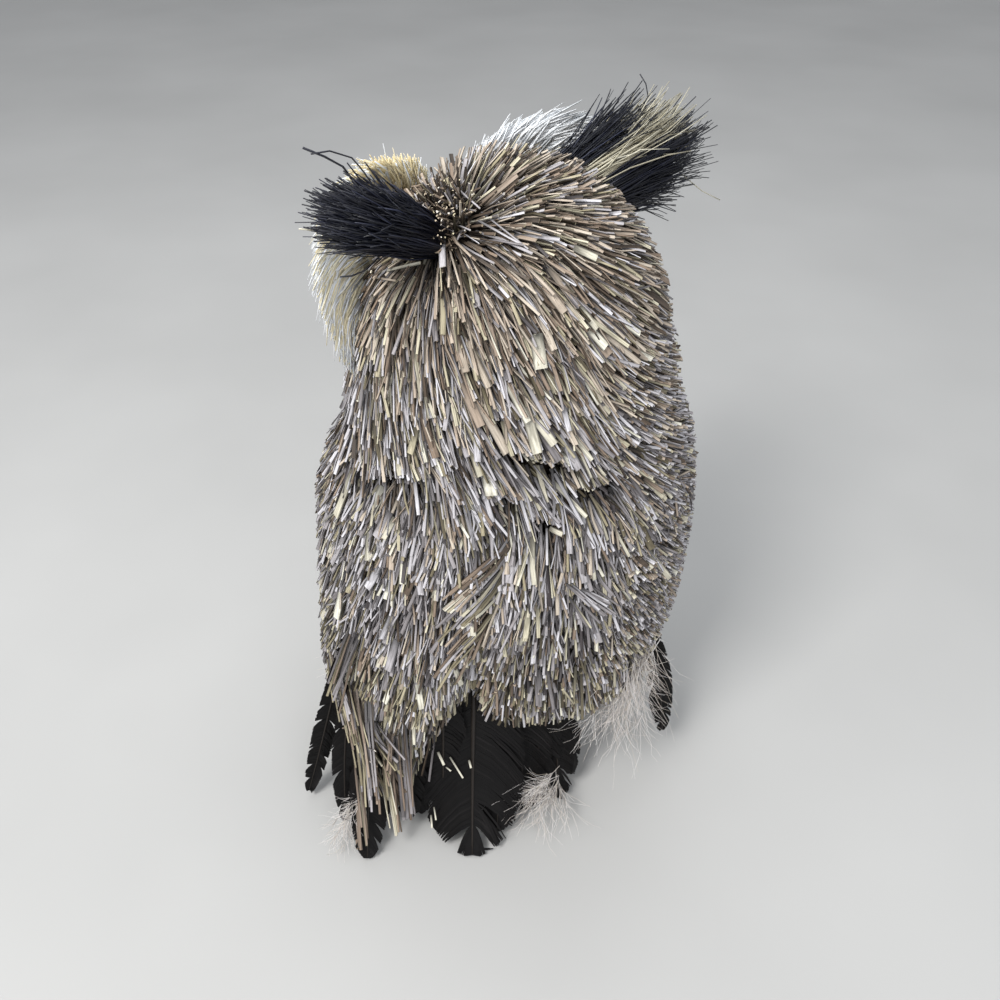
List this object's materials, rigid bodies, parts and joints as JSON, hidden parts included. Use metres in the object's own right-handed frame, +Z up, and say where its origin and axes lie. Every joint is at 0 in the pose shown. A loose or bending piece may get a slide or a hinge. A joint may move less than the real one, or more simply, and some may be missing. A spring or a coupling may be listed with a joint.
{
  "type": "sisal brush owl figurine",
  "caption": "Folk-craft owl of thatched plant bristles, head turned over its shoulder, with stiff brush ear tufts, real feathers and down, standing on two flat-soled feet.",
  "frame": {"origin": "on the ground, at the middle of the owl's outer box", "axes": "+Z up; the body faces -Y and the pictured back faces +Y; the owl's own left is +X, and the head is turned towards it"},
  "size_m": [0.1279, 0.1154, 0.2157],
  "materials": {
    "straw": "dry split straw and sisal bristle in grey, brown and straw tones, cut blunt",
    "cream_bristle": "bleached cream and white bristle",
    "black_bristle": "stiff bristle dyed blue-black",
    "black_feather": "black feather, soft sheen",
    "white_down": "loose off-white down",
    "eye_glass": "domed glossy amber eye with a black pupil",
    "horn": "dark moulded horn, half gloss"
  },
  "bodies": {
    "root": {"body": "straw", "wing_left": "straw", "wing_right": "straw", "ear_tuft_left": "black_bristle", "ear_tuft_right": "black_bristle", "face_disc_left": "cream_bristle", "face_disc_right": "cream_bristle", "eye_left": "eye_glass", "eye_right": "eye_glass", "beak": "horn", "foot_left": "horn", "foot_right": "horn", "tail_feather_middle": "black_feather", "tail_feather_left": "black_feather", "tail_feather_right": "black_feather", "tail_feather_outer": "black_feather", "wing_feather_sickle": "black_feather", "wing_feather_narrow": "black_feather", "wing_feather_low": "black_feather", "wing_feather_right": "black_feather", "down_flank_right": "white_down", "down_flank_left": "white_down", "down_tail_right": "white_down", "down_tail_left": "white_down"}
  },
  "joints": []
}
